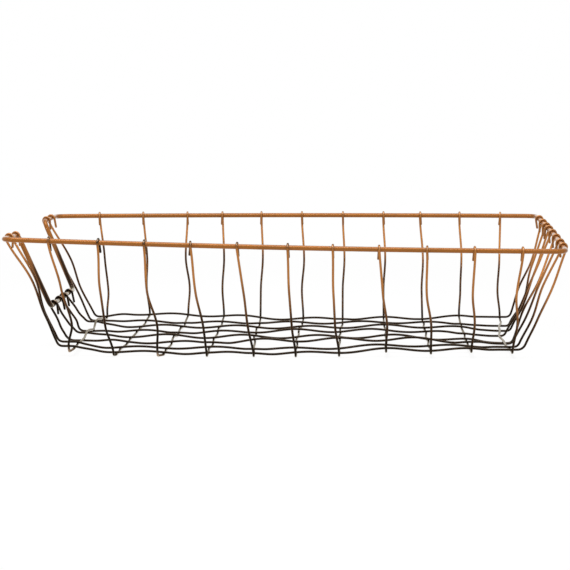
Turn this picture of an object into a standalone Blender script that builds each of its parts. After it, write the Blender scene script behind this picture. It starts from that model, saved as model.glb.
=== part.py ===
# Open wire basket tray: wavy wires hooked over one heavier rim wire.
# Metres, +Z up, +X along the length. The front long side faces -Y, and the origin is on the
# resting plane under the middle of the rim. The middle cross wire lies flat on z = 0.

import math

import bmesh
import bpy
from mathutils import Vector

# Rim: one closed loop of heavy wire
RIM_LENGTH = 0.466
RIM_WIDTH = 0.309
RIM_HEIGHT = 0.097
RIM_WIRE = 0.0042
RIM_CORNER_RADIUS = 0.009

# The right end bulges outward in plan, this share of the bulge past the length
RIGHT_BULGE = 0.0015
BULGE_PAST_SHARE = 0.6

# How far the hand-bent rim strays from level, and the share of it at each place
RIM_WARP = 0.0036
FRONT_LEFT_WARP_SHARE = 1.0
FRONT_RIGHT_WARP_SHARE = -1.4
REAR_LEFT_WARP_SHARE = 0.05
REAR_RIGHT_WARP_SHARE = 0.4
FRONT_BOW_SHARE = -0.5
REAR_BOW_SHARE = 0.25

# Dip in the left end of the rim: the long wires that hook over it, counted from zero, and the
# share of the way to the next hook at which it starts and ends
DIP_DROP = 0.062
DIP_CORNER_RADIUS = 0.006
DIP_WIRES = range(2, 6)
DIP_FRONT_SHARE = 0.4
DIP_REAR_SHARE = 0.7

# Walls: how far each one leans out from the floor bend to the rim
FLARE_SIDE = 0.0255
FLARE_LEFT = 0.043
FLARE_RIGHT = 0.0315

# Thin wires
THIN_WIRE = 0.002
BEND_RADIUS = 0.004
TAIL_LENGTH = 0.0095
TAIL_SWING = 0.001
CROSS_BOW = 0.001
FOOT_SHIFT = 0.001
FOOT_SAG = 0.0019
SEAT_GAP = 0.0003
CROSS_EDGE_MARGIN = 0.009
LONG_EDGE_MARGIN = 0.006

# Waves crimped into the thin wires
WAVE_LENGTH = 0.0667
CROSS_WAVE = 0.0006
LONG_WAVE = 0.003
LONG_WAVE_RISE = 0.00095
WAVE_FADE = 0.020
WAVE_CALM = 0.008
CROSS_WALL_SWAY = 0.002
LONG_WALL_SWAY = 0.004
SWAY_HIGH_SHARE = 0.42
SWAY_LOW_SHARE = 0.75

# The bent floor lies a little above the resting plane. Towards each end the outer long wires
# climb over the end cross wire and the low ones dive under it
LIE_RISE = 0.001
SINK_DEPTH = 0.0009
SETTLE_BLUR = 0.0003
TURN_START_SHARE = 0.8
DIVE_START_SHARE = 0.12
DIVE_SHARE = 0.55

# Counts
CROSS_WIRES = 11
LONG_WIRES = 8
LOW_WIRES = range(2, 7)
RAIL_STEPS = 8
SIDE_STEPS = 6
CORNER_STEPS = 5
DIP_STEPS = 4
HOOK_STEPS = 6
BEND_STEPS = 3
WALL_STEPS = 8
SPACING_STEPS = 3
CROSSING_ROUNDS = 4
WIRE_SIDES = 6
RIM_BEVEL_RESOLUTION = 3

# Drift of each cross wire from even spacing, left to right, as shares of the spacing
CROSS_FRONT_SHARES = (0.02, 0.06, 0.05, 0.02, 0.02, 0.08, 0.04, 0.03, 0.04, 0.04, 0.07)
CROSS_FLOOR_FRONT_SHARES = (0.05, 0.01, 0.08, 0.08, 0.14, 0.09, 0.07, 0.13, 0.14, 0.05, -0.03)
CROSS_FLOOR_REAR_SHARES = (0.05, 0.15, 0.14, 0.06, 0.00, 0.10, 0.11, 0.16, 0.15, 0.09, 0.13)
CROSS_REAR_SHARES = (0.15, 0.26, 0.32, 0.21, 0.19, 0.20, 0.21, 0.22, 0.14, 0.10, 0.09)
CROSS_FRONT_FOOT_SHARES = (-0.09, 0.0, -0.11, 0.0, 0.0, 0.0, 0.0, 0.0, 0.0, 0.0, 0.0)
CROSS_FRONT_SAG_SHARES = (1.0, 0.0, 0.0, 0.0, 0.0, 0.0, 0.0, 0.0, 0.0, 0.0, 0.0)
CROSS_BOW_SHARES = (0.0, 0.0, 0.0, 0.0, -2.0, -2.0, -1.2, 0.8, 0.0, 0.0, -5.3)
CROSS_PHASE_SHARES = (0.10, 0.20, 0.15, 0.20, 0.25, 0.20, 0.30, 0.35, 0.40, 0.30, 0.45)

# Sway of each cross wire high and low on its wall, as shares of CROSS_WALL_SWAY
FRONT_HIGH_SHARES = (1.4, -2.1, -1.1, -0.8, -0.4, -0.7, -0.8, 0.2, -0.85, -0.4, -0.9)
FRONT_LOW_SHARES = (3.3, -3.0, 1.3, 0.25, -0.6, -0.7, -0.95, 0.6, 0.2, 0.9, 0.2)
REAR_HIGH_SHARES = (0.85, 0.5, -0.2, 0.4, 0.8, 0.8, 0.8, 0.4, 1.0, 1.1, -0.3)
REAR_LOW_SHARES = (1.4, -0.7, 1.6, -0.05, 0.3, -0.25, 0.0, -1.0, 0.25, 1.1, -1.1)

# Swing of each tail tip, as shares of TAIL_SWING
FRONT_TAIL_SHARES = (0.9, 1.2, 0.3, -0.8, 0.8, 0.6, 0.3, -0.5, 0.4, -0.9, -0.7)
REAR_TAIL_SHARES = (0.4, 0.3, 0.6, -0.3, -0.2, 0.5, 0.2, 0.5, 0.6, 0.2, -0.9)
LEFT_TAIL_SHARES = (0.4, -0.3, -0.9, 0.6, 0.4, -0.2, 0.3, 0.8)
RIGHT_TAIL_SHARES = (0.5, -0.6, 0.3, -0.4, 0.7, -0.3, 0.5, 0.6)
LEFT_LEAN_SHARES = (-0.5, 0.5, 1.2, 1.8, 1.8, 2.0, 0.4, 1.6)
RIGHT_LEAN_SHARES = (0.9, 0.5, 0.5, 0.9, -1.0, 0.0, 0.3, 0.9)

# Drift of each long wire from even spacing, front to back, as shares of the spacing
LONG_LEFT_SHARES = (-0.04, -0.04, -0.15, -0.09, -0.20, -0.17, 0.16, 0.01)
LONG_RIGHT_SHARES = (0.0, -0.06, 0.11, 0.24, 0.25, 0.05, -0.01, 0.04)
LONG_FLOOR_LEFT_SHARES = (0.03, -0.17, -0.10, 0.00, -0.05, 0.0, 0.0, 0.0)
LONG_FLOOR_RIGHT_SHARES = (0.03, -0.17, 0.30, -0.55, -0.10, -0.15, 0.0, 0.0)
LONG_PHASE_SHARES = (-0.23, -0.39, 0.16, -0.11, -0.42, -0.24, -0.54, -0.20)

# Shift of each long wire's floor bends along the tray, as shares of FOOT_SHIFT
LEFT_FOOT_SHARES = (0.0, -5.5, -2.5, 0.0, -0.5, 0.5, 0.0, 0.5)
RIGHT_FOOT_SHARES = (-0.8, -3.4, -4.3, -4.4, -7.6, 0.0, 1.4, 4.7)

# Radius of each long wire's floor bends, as shares of BEND_RADIUS
LEFT_BEND_SHARES = (1.6, 1.1, 2.2, 1.5, 1.2, 1.1, 1.1, 1.2)
RIGHT_BEND_SHARES = (1.7, 1.2, 1.2, 1.2, 1.0, 1.0, 0.7, 1.2)

# Height of each long wire's floor as shares of LIE_RISE, at five places from left to right,
# then what is added at the very ends, then its wave as shares of LONG_WAVE_RISE
LIE_SHARES = (
    (1.8, -0.5, -0.2, 3.5, 3.6),
    (0.4, 0.5, -0.1, 3.3, 2.2),
    (0.9, -0.7, 1.8, 2.5, -0.9),
    (1.3, 1.2, 1.8, 3.0, -1.3),
    (1.4, -0.2, 1.9, 2.5, -2.7),
    (1.1, 0.9, 0.6, 2.4, 0.2),
    (1.4, 0.1, 0.3, 1.1, -1.0),
    (4.6, 2.9, -0.3, 0.7, 3.0),
)
LEFT_TURN_SHARES = (4.7, 5.0, 0.6, 2.3, -0.8, 4.2, 0.1, -3.9)
RIGHT_TURN_SHARES = (0.0, 0.0, -0.9, -0.8, 0.0, -1.9, -1.2, -0.8)
WAVE_RISE_SHARES = (0.85, 0.65, 1.25, 1.25, 1.1, 1.0, 0.75, 0.9)

# Sway of each long wire inward, high and low on its end wall, as shares of LONG_WALL_SWAY
LEFT_HIGH_SHARES = (1.1, 0.4, 0.1, -0.35, 0.3, 0.0, -0.2, 0.75)
LEFT_LOW_SHARES = (0.3, -0.2, -0.1, -0.3, 0.45, -0.2, 0.2, -0.2)
RIGHT_HIGH_SHARES = (-0.5, 0.4, 0.0, -0.35, -0.3, -0.4, -0.2, -0.6)
RIGHT_LOW_SHARES = (-0.25, -0.35, -0.35, 0.4, -0.5, -0.7, -1.2, 0.2)

# Sizes that follow from the ones above
RIM_HALF_LENGTH = (RIM_LENGTH - RIM_WIRE) / 2
RIM_HALF_WIDTH = (RIM_WIDTH - RIM_WIRE) / 2
FLOOR_LEFT = FLARE_LEFT - RIM_HALF_LENGTH
FLOOR_RIGHT = RIM_HALF_LENGTH - FLARE_RIGHT
FLOOR_MIDDLE = (FLOOR_LEFT + FLOOR_RIGHT) / 2
FLOOR_HALF_WIDTH = RIM_HALF_WIDTH - FLARE_SIDE
HOOK_RADIUS = (RIM_WIRE + THIN_WIRE) / 2 + SEAT_GAP
THIN_APOTHEM = THIN_WIRE / 2 * math.cos(math.pi / WIRE_SIDES)
WIRE_STEP_UP = 2 * THIN_APOTHEM + SEAT_GAP
CROSS_PITCH = (FLOOR_RIGHT - FLOOR_LEFT - 2 * CROSS_EDGE_MARGIN) / (CROSS_WIRES - 1)
LONG_PITCH = 2 * (FLOOR_HALF_WIDTH - LONG_EDGE_MARGIN) / (LONG_WIRES - 1)
CROSS_HOOK_PITCH = 2 * RIM_HALF_LENGTH / (CROSS_WIRES + 1)
LONG_HOOK_PITCH = 2 * RIM_HALF_WIDTH / (LONG_WIRES + 1)
END_CROSS_REACH = (FLOOR_RIGHT - FLOOR_LEFT) / 2 - CROSS_EDGE_MARGIN


def blend(start, end, share):
    return start + (end - start) * share


def ease(share):
    share = min(max(share, 0), 1)
    return (1 - math.cos(math.pi * share)) / 2


def soft_max(first, second, blur):
    return (first + second + math.hypot(first - second, blur)) / 2


# Rim

def rim_height(x, y):
    along = (1 + x / RIM_HALF_LENGTH) / 2
    across = (1 + y / RIM_HALF_WIDTH) / 2
    arch = 4 * along * (1 - along)
    front = blend(FRONT_LEFT_WARP_SHARE, FRONT_RIGHT_WARP_SHARE, along) + FRONT_BOW_SHARE * arch
    rear = blend(REAR_LEFT_WARP_SHARE, REAR_RIGHT_WARP_SHARE, along) + REAR_BOW_SHARE * arch
    return RIM_HEIGHT + RIM_WARP * blend(front, rear, across)


def right_rim_x(y):
    return RIM_HALF_LENGTH + RIGHT_BULGE * (BULGE_PAST_SHARE - (y / RIM_HALF_WIDTH) ** 2)


def left_hook_y(wire):
    return LONG_HOOK_PITCH * (wire + 1 + LONG_LEFT_SHARES[wire]) - RIM_HALF_WIDTH


def dip_edges():
    first, last = DIP_WIRES[0], DIP_WIRES[-1]
    front = blend(left_hook_y(first - 1), left_hook_y(first), DIP_FRONT_SHARE)
    rear = blend(left_hook_y(last), left_hook_y(last + 1), DIP_REAR_SHARE)
    return front, rear


def dip_point(y):
    lean = DIP_DROP * FLARE_LEFT / RIM_HEIGHT
    return Vector((lean - RIM_HALF_LENGTH, y, rim_height(-RIM_HALF_LENGTH, y) - DIP_DROP))


def left_rim_point(y):
    front, rear = dip_edges()
    if front < y < rear:
        low_front, low_rear = dip_point(front), dip_point(rear)
        return low_front.lerp(low_rear, (y - front) / (rear - front))
    return Vector((-RIM_HALF_LENGTH, y, rim_height(-RIM_HALF_LENGTH, y)))


def rounded_corner(before, corner, after, radius, steps):
    to_before = (before - corner).normalized()
    to_after = (after - corner).normalized()
    half_angle = to_before.angle(to_after) / 2
    reach = radius / math.tan(half_angle)
    centre = corner + (to_before + to_after).normalized() * radius / math.sin(half_angle)
    start = corner + to_before * reach - centre
    end = corner + to_after * reach - centre
    turn = start.angle(end)
    points = []
    for step in range(steps + 1):
        angle = turn * step / steps
        points.append(centre + (start * math.sin(turn - angle) + end * math.sin(angle)) / math.sin(turn))
    return points


def rim_path():
    front, rear = dip_edges()
    right_corner = right_rim_x(RIM_HALF_WIDTH)
    corners = []

    def add(x, y, height_x, turned):
        place = Vector((x, y, rim_height(height_x, y)))
        corners.append((place, RIM_CORNER_RADIUS if turned else 0, CORNER_STEPS))

    def add_rail(x_from, x_to, y):
        for step in range(RAIL_STEPS):
            x = blend(x_from, x_to, step / RAIL_STEPS)
            add(x, y, x, step == 0)

    add_rail(-RIM_HALF_LENGTH, right_corner, -RIM_HALF_WIDTH)
    for step in range(SIDE_STEPS):
        y = blend(-RIM_HALF_WIDTH, RIM_HALF_WIDTH, step / SIDE_STEPS)
        add(right_rim_x(y), y, RIM_HALF_LENGTH, step == 0)
    add_rail(right_corner, -RIM_HALF_LENGTH, RIM_HALF_WIDTH)
    add(-RIM_HALF_LENGTH, RIM_HALF_WIDTH, -RIM_HALF_LENGTH, True)
    for y, low_first in ((rear, False), (front, True)):
        top = Vector((-RIM_HALF_LENGTH, y, rim_height(-RIM_HALF_LENGTH, y)))
        pair = [dip_point(y), top] if low_first else [top, dip_point(y)]
        corners.extend((point, DIP_CORNER_RADIUS, DIP_STEPS) for point in pair)

    path = []
    for index, (corner, radius, steps) in enumerate(corners):
        if radius:
            before = corners[index - 1][0]
            after = corners[(index + 1) % len(corners)][0]
            path.extend(rounded_corner(before, corner, after, radius, steps))
        else:
            path.append(corner)
    return path


# Thin wires: each end is a tail, a hook over the rim and a wall run down to the floor bend

def end_profile(rim, corner, outward, lean, bend_radius):
    # Points run from the tail tip to the floor, as (place along the wire, height)
    rise = Vector((outward * (rim[0] - corner[0]), rim[1] - corner[1]))
    slope = math.atan2(rise.y, rise.x) - math.asin(HOOK_RADIUS / rise.length)
    up_wall = Vector((math.cos(slope), math.sin(slope)))
    inward = Vector((-math.sin(slope), math.cos(slope)))
    centre = Vector((outward * rim[0], rim[1]))
    foot = Vector((outward * corner[0], corner[1]))

    hook = [centre - Vector((HOOK_RADIUS - outward * lean, TAIL_LENGTH))]
    step_angle = (math.pi * 3 / 2 - slope) / HOOK_STEPS
    vertex_radius = HOOK_RADIUS / math.cos(step_angle / 2)
    for step in range(HOOK_STEPS):
        angle = math.pi - step_angle * (step + 1 / 2)
        hook.append(centre + Vector((math.cos(angle), math.sin(angle))) * vertex_radius)

    reach = bend_radius * math.tan(slope / 2)
    wall = []
    start, end = hook[-1], foot + up_wall * reach
    for step in range(1, WALL_STEPS):
        wall.append(start.lerp(end, step / WALL_STEPS))
    bend_centre = foot + Vector((-reach, bend_radius))
    bend = []
    for step in range(BEND_STEPS + 1):
        angle = slope - math.pi / 2 - slope * step / BEND_STEPS
        bend.append(bend_centre + Vector((math.cos(angle), math.sin(angle))) * bend_radius)
    return hook, wall, bend, inward


def wall_sway(share, high, low):
    stops = ((0, 0), (SWAY_HIGH_SHARE, high), (SWAY_LOW_SHARE, low), (1, 0))
    for (stop, value), (next_stop, next_value) in zip(stops, stops[1:]):
        if share <= next_stop:
            return blend(value, next_value, ease((share - stop) / (next_stop - stop)))
    return 0


def wire_end(rim, corner, outward, hook_side, floor_side, side_sway, inward_sway, tail, bend_radius):
    # One end of a wire as (place along, place across, height), tail tip first
    swing, lean = tail
    hook, wall, bend, inward = end_profile(rim, corner, outward, lean, bend_radius)
    points = [(outward * hook[0].x, hook_side + swing, hook[0].y)]
    points.extend((outward * point.x, hook_side, point.y) for point in hook[1:])
    for step, point in enumerate(wall, 1):
        share = step / WALL_STEPS
        moved = point + inward * wall_sway(share, *inward_sway)
        across = blend(hook_side, floor_side, share) + wall_sway(share, *side_sway)
        points.append((outward * moved.x, across, moved.y))
    points.extend((outward * point.x, floor_side, point.y) for point in bend)
    return points


# Floor: both sets of wires are placed first, then their crossings and heights

def wave_fade(place, first, last):
    past_first = place - first - WAVE_CALM
    before_last = last - WAVE_CALM - place
    return ease(past_first / WAVE_FADE) * ease(before_last / WAVE_FADE)


def cross_floor_x(wire, y=0):
    across = (1 + y / FLOOR_HALF_WIDTH) / 2
    drift = blend(CROSS_FLOOR_FRONT_SHARES[wire], CROSS_FLOOR_REAR_SHARES[wire], across)
    bow = CROSS_BOW * CROSS_BOW_SHARES[wire] * ease(1 - abs(y) / FLOOR_HALF_WIDTH)
    return FLOOR_LEFT + CROSS_EDGE_MARGIN + CROSS_PITCH * (wire + drift) + bow


def long_floor_y(wire, x=0):
    along = (x - FLOOR_LEFT) / (FLOOR_RIGHT - FLOOR_LEFT)
    drift = blend(LONG_FLOOR_LEFT_SHARES[wire], LONG_FLOOR_RIGHT_SHARES[wire], along)
    return LONG_EDGE_MARGIN - FLOOR_HALF_WIDTH + LONG_PITCH * (wire + drift)


def cross_wire_x(wire, y):
    fade = wave_fade(y, long_floor_y(0), long_floor_y(LONG_WIRES - 1))
    wave = math.cos(math.tau * (y / WAVE_LENGTH - CROSS_PHASE_SHARES[wire]))
    return cross_floor_x(wire, y) + CROSS_WAVE * fade * wave


def long_wave(wire, x):
    fade = wave_fade(x, cross_floor_x(0), cross_floor_x(CROSS_WIRES - 1))
    return fade, -math.cos(math.tau * (x / WAVE_LENGTH - LONG_PHASE_SHARES[wire]))


def long_wire_y(wire, x):
    fade, wave = long_wave(wire, x)
    return long_floor_y(wire, x) + LONG_WAVE * fade * wave


def crossing(cross, long):
    x, y = cross_floor_x(cross), long_floor_y(long)
    for _ in range(CROSSING_ROUNDS):
        x = cross_wire_x(cross, y)
        y = long_wire_y(long, x)
    return x, y


def long_wire_lie(wire, place):
    # Place runs from -1 at the left end cross wire to 1 at the right one
    shares = LIE_SHARES[wire]
    station = min(max((place + 1) / 2, 0), 1) * (len(shares) - 1)
    first = min(int(station), len(shares) - 2)
    lie = blend(shares[first], shares[first + 1], ease(station - first))
    turn = min(max((abs(place) - TURN_START_SHARE) / (1 - TURN_START_SHARE), 0), 1)
    lie += LEFT_TURN_SHARES[wire] * turn ** 2.5 if place < 0 else RIGHT_TURN_SHARES[wire] * ease(turn)
    return LIE_RISE * lie, turn


def long_wire_level(wire, x):
    fade, wave = long_wave(wire, x)
    lie, turn = long_wire_lie(wire, (x - FLOOR_MIDDLE) / END_CROSS_REACH)
    dive = min(max((turn - DIVE_START_SHARE) / DIVE_SHARE, 0), 1) if wire in LOW_WIRES else 0
    lowest = THIN_APOTHEM + WIRE_STEP_UP * (1 - dive)
    if turn == 0:
        away = min(abs(x - crossing(cross, wire)[0]) for cross in range(CROSS_WIRES))
        lowest -= SINK_DEPTH * ease(2 * away / CROSS_PITCH)
    level = THIN_APOTHEM + WIRE_STEP_UP + lie + LONG_WAVE_RISE * WAVE_RISE_SHARES[wire] * fade * wave
    return soft_max(lowest, level, SETTLE_BLUR)


def cross_wire_level(cross, long):
    # Height of a cross wire where it meets a long wire: above the low ones at the two ends. The
    # middle cross wire lies flat
    if cross == CROSS_WIRES // 2:
        return THIN_APOTHEM
    at_end = cross in (0, CROSS_WIRES - 1)
    step = WIRE_STEP_UP if at_end and long in LOW_WIRES else -WIRE_STEP_UP
    return long_wire_level(long, crossing(cross, long)[0]) + step


# Whole wires

def cross_hook_x(wire, shares):
    return CROSS_HOOK_PITCH * (wire + 1 + shares[wire]) - RIM_HALF_LENGTH


def cross_wire_path(wire):
    floor = []
    for long in range(LONG_WIRES):
        y, level = crossing(wire, long)[1], cross_wire_level(wire, long)
        if floor:
            last_y, last_level = floor[-1][0], floor[-1][2]
            for step in range(1, SPACING_STEPS):
                share = step / SPACING_STEPS
                between = blend(last_y, y, share)
                floor.append((between, cross_wire_x(wire, between), blend(last_level, level, ease(share))))
        floor.append((y, cross_wire_x(wire, y), level))

    front_foot = CROSS_PITCH * CROSS_FRONT_FOOT_SHARES[wire]
    front_sag = FOOT_SAG * CROSS_FRONT_SAG_SHARES[wire]
    ends = []
    for outward, hook_shares, highs, lows, tails, level, foot in (
            (-1, CROSS_FRONT_SHARES, FRONT_HIGH_SHARES, FRONT_LOW_SHARES, FRONT_TAIL_SHARES,
             floor[0][2] - front_sag, front_foot),
            (1, CROSS_REAR_SHARES, REAR_HIGH_SHARES, REAR_LOW_SHARES, REAR_TAIL_SHARES, floor[-1][2], 0)):
        hook_x = cross_hook_x(wire, hook_shares)
        rim_y = outward * RIM_HALF_WIDTH
        sway = (CROSS_WALL_SWAY * highs[wire], CROSS_WALL_SWAY * lows[wire])
        tail = (TAIL_SWING * tails[wire], 0)
        corner = (outward * FLOOR_HALF_WIDTH, level)
        floor_x = cross_floor_x(wire, outward * FLOOR_HALF_WIDTH) + foot
        ends.append(wire_end((rim_y, rim_height(hook_x, rim_y)), corner, outward, hook_x, floor_x,
                             sway, (0, 0), tail, BEND_RADIUS))
    front, rear = ends
    return [Vector((x, y, z)) for y, x, z in front + floor + rear[::-1]]


def long_wire_path(wire):
    crossings = [crossing(cross, wire)[0] for cross in range(CROSS_WIRES)]
    places = crossings[:1]
    for start, end in zip(crossings, crossings[1:]):
        places.extend(blend(start, end, step / SPACING_STEPS) for step in range(1, SPACING_STEPS + 1))
    floor = [(x, long_wire_y(wire, x), long_wire_level(wire, x)) for x in places]

    left_y = left_hook_y(wire)
    left_rim = left_rim_point(left_y)
    right_y = LONG_HOOK_PITCH * (wire + 1 + LONG_RIGHT_SHARES[wire]) - RIM_HALF_WIDTH
    ends = []
    for outward, rim_x, rim_z, hook_y, corner_x, level, feet, highs, lows, tails, leans, bends in (
            (-1, left_rim.x, left_rim.z, left_y, FLOOR_LEFT, floor[0][2], LEFT_FOOT_SHARES,
             LEFT_HIGH_SHARES, LEFT_LOW_SHARES, LEFT_TAIL_SHARES, LEFT_LEAN_SHARES, LEFT_BEND_SHARES),
            (1, right_rim_x(right_y), rim_height(RIM_HALF_LENGTH, right_y), right_y, FLOOR_RIGHT,
             floor[-1][2], RIGHT_FOOT_SHARES, RIGHT_HIGH_SHARES, RIGHT_LOW_SHARES, RIGHT_TAIL_SHARES,
             RIGHT_LEAN_SHARES, RIGHT_BEND_SHARES)):
        corner_x += FOOT_SHIFT * feet[wire]
        sway = (LONG_WALL_SWAY * highs[wire], LONG_WALL_SWAY * lows[wire])
        tail = (TAIL_SWING * tails[wire], TAIL_SWING * leans[wire])
        ends.append(wire_end((rim_x, rim_z), (corner_x, level), outward, hook_y,
                             long_floor_y(wire, corner_x), (0, 0), sway, tail, BEND_RADIUS * bends[wire]))
    left, right = ends
    return [Vector(point) for point in left + floor + right[::-1]]


# Building

def material(name, color, roughness, metallic):
    made = bpy.data.materials.new(name)
    made.use_nodes = True
    shader = made.node_tree.nodes["Principled BSDF"]
    shader.inputs["Base Color"].default_value = (*color, 1)
    shader.inputs["Roughness"].default_value = roughness
    shader.inputs["Metallic"].default_value = metallic
    return made


def add_wire(name, path, side, look):
    # A facet of the section faces straight down where the wire lies level
    mesh = bmesh.new()
    rings = []
    for index, point in enumerate(path):
        ahead = path[min(index + 1, len(path) - 1)]
        behind = path[max(index - 1, 0)]
        along = (ahead - behind).normalized()
        across = (side - along * side.dot(along)).normalized()
        normal = along.cross(across)
        ring = []
        for corner in range(WIRE_SIDES):
            angle = math.tau * corner / WIRE_SIDES
            offset = across * math.cos(angle) + normal * math.sin(angle)
            ring.append(mesh.verts.new(point + offset * THIN_WIRE / 2))
        rings.append(ring)
    for ring, following in zip(rings, rings[1:]):
        for corner in range(WIRE_SIDES):
            turned = (corner + 1) % WIRE_SIDES
            mesh.faces.new((ring[corner], ring[turned], following[turned], following[corner]))
    mesh.faces.new(rings[0][::-1])
    mesh.faces.new(rings[-1])
    bmesh.ops.recalc_face_normals(mesh, faces=mesh.faces)
    data = bpy.data.meshes.new(name)
    mesh.to_mesh(data)
    mesh.free()
    data.shade_smooth()
    data.set_sharp_from_angle(angle=math.radians(65))
    data.materials.append(look)
    bpy.context.collection.objects.link(bpy.data.objects.new(name, data))


def add_rim(name, path, look):
    curve = bpy.data.curves.new(name, "CURVE")
    curve.dimensions = "3D"
    curve.twist_mode = "MINIMUM"
    curve.bevel_depth = RIM_WIRE / 2
    curve.bevel_resolution = RIM_BEVEL_RESOLUTION
    spline = curve.splines.new("POLY")
    spline.use_cyclic_u = True
    spline.points.add(len(path) - 1)
    for spline_point, point in zip(spline.points, path):
        spline_point.co = (*point, 1)
    curve.materials.append(look)
    bpy.context.collection.objects.link(bpy.data.objects.new(name, curve))


for old in list(bpy.data.objects):
    bpy.data.objects.remove(old)

add_rim("rim_wire", rim_path(), material("copper_coat", (0.52, 0.24, 0.09), 0.35, 0.8))

for number in range(LONG_WIRES):
    look = material(f"long_wire_coat_{number + 1}", (0.10, 0.06, 0.04), 0.4, 0.7)
    add_wire(f"long_wire_{number + 1}", long_wire_path(number), Vector((0, 1, 0)), look)

for number in range(CROSS_WIRES):
    look = material(f"cross_wire_coat_{number + 1}", (0.32, 0.16, 0.07), 0.4, 0.7)
    add_wire(f"cross_wire_{number + 1}", cross_wire_path(number), Vector((1, 0, 0)), look)
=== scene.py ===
import math

import bpy
from mathutils import Matrix, Vector


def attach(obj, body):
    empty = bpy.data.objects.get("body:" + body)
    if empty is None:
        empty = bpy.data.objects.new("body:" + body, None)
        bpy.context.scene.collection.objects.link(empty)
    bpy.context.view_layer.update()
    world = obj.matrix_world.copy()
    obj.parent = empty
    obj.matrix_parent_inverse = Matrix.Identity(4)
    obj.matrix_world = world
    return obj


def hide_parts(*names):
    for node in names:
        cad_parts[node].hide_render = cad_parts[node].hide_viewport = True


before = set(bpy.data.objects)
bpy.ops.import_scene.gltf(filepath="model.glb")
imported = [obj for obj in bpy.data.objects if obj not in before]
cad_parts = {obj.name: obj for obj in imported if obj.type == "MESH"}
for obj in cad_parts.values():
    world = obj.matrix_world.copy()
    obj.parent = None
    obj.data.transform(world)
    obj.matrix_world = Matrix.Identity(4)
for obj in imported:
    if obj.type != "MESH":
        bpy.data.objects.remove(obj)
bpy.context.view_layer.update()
print("frame loaded:", len(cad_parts), "nodes")

# Metres, z up. The front long side faces -y and the dipped end is at -x.

rimWire = {
    "length": 0.466,
    "width": 0.309,
    "height": 0.097,
    "wire": 0.0042,
    "rightBow": 0.0015,          # how far the right end bulges,
    "bowPast": 0.6,              # and how much of that is past the length
    "cornerRadius": 0.009,
    "warp": 0.0036,              # how far the bent rim strays from level
    "frontLeftWarp": 1.0,        # shares of the warp at each corner
    "frontRightWarp": -1.4,
    "rearLeftWarp": 0.05,
    "rearRightWarp": 0.4,
    "frontBow": -0.5,            # shares at the middle of each rail
    "rearBow": 0.25,
    "leftSkew": 0.0025,          # how far the rear of the left end lies inwards
    "dipSag": 0.002,             # how far the front stub of the left end drops towards the dip
    "dipDrop": 0.0633,
    "dipCornerRadius": 0.006,
    "dipAfterWire": 2,           # the dip starts between this long wire and the next one,
    "dipBeforeWire": 7,          # and ends between this one and the one before,
    "dipFrontShare": 0.4,        # at these shares of the way from hook to hook
    "dipRearShare": 0.7,
    "railSteps": 24,
    "endSteps": 16,
    "cornerSteps": 14,
    "sides": 24,
    "step": 0.0012,
}

thinWire = {
    "wire": 0.002,
    "bendRadius": 0.004,
    "tail": 0.0095,
    "seatGap": 0.0001,
    "sprayFade": 0.70,           # shares of the way over the rim: a hook's own coat fades from here
    "sprayEnd": 1.2,             # to here,
    "highlightSpots": (0.25, 0.80),        # and a painted highlight sits on its outside here, in place of a lamp's glint
    "highlightSpan": 0.16,
    "tailUnit": 0.001,           # tail tips swing and lean by shares of this
    "wound": 0.0007,             # how far a hook winds sideways as its tail swings by one share
    "crimpLength": 0.0667,
    "crimpFade": 0.020,          # the waves grow over this length,
    "crimpCalm": 0.008,          # past this much plain wire
    "swayHigh": 0.42,            # where on the wall a wire strays most, as shares from the top
    "swayLow": 0.75,
    "flareSide": 0.0255,
    "flareLeft": 0.043,
    "flareRight": 0.0315,
    "tailSteps": 6,
    "hookSteps": 24,
    "wallSteps": 32,
    "bendSteps": 8,
    "spanSteps": 12,             # between two crossings on the floor
    "crossingRounds": 4,         # tries that settle where two waved wires cross
    "sides": 14,
    "step": 0.0008,
}

rimHalfLength = (rimWire["length"] - rimWire["wire"]) / 2
rimHalfWidth = (rimWire["width"] - rimWire["wire"]) / 2
floorLeft = thinWire["flareLeft"] - rimHalfLength
floorRight = rimHalfLength - thinWire["flareRight"]
floorMiddle = (floorLeft + floorRight) / 2
floorHalfWidth = rimHalfWidth - thinWire["flareSide"]
hookRadius = (rimWire["wire"] + thinWire["wire"]) / 2 + thinWire["seatGap"]
restHeight = thinWire["wire"] / 2
stepUp = 2 * restHeight + thinWire["seatGap"]


def blend(start, end, share):
    return start + (end - start) * share


def clamp(share):
    return min(max(share, 0), 1)


def ease(share):
    return (1 - math.cos(math.pi * clamp(share))) / 2


def softMax(first, second, blur):
    return (first + second + math.hypot(first - second, blur)) / 2


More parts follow.
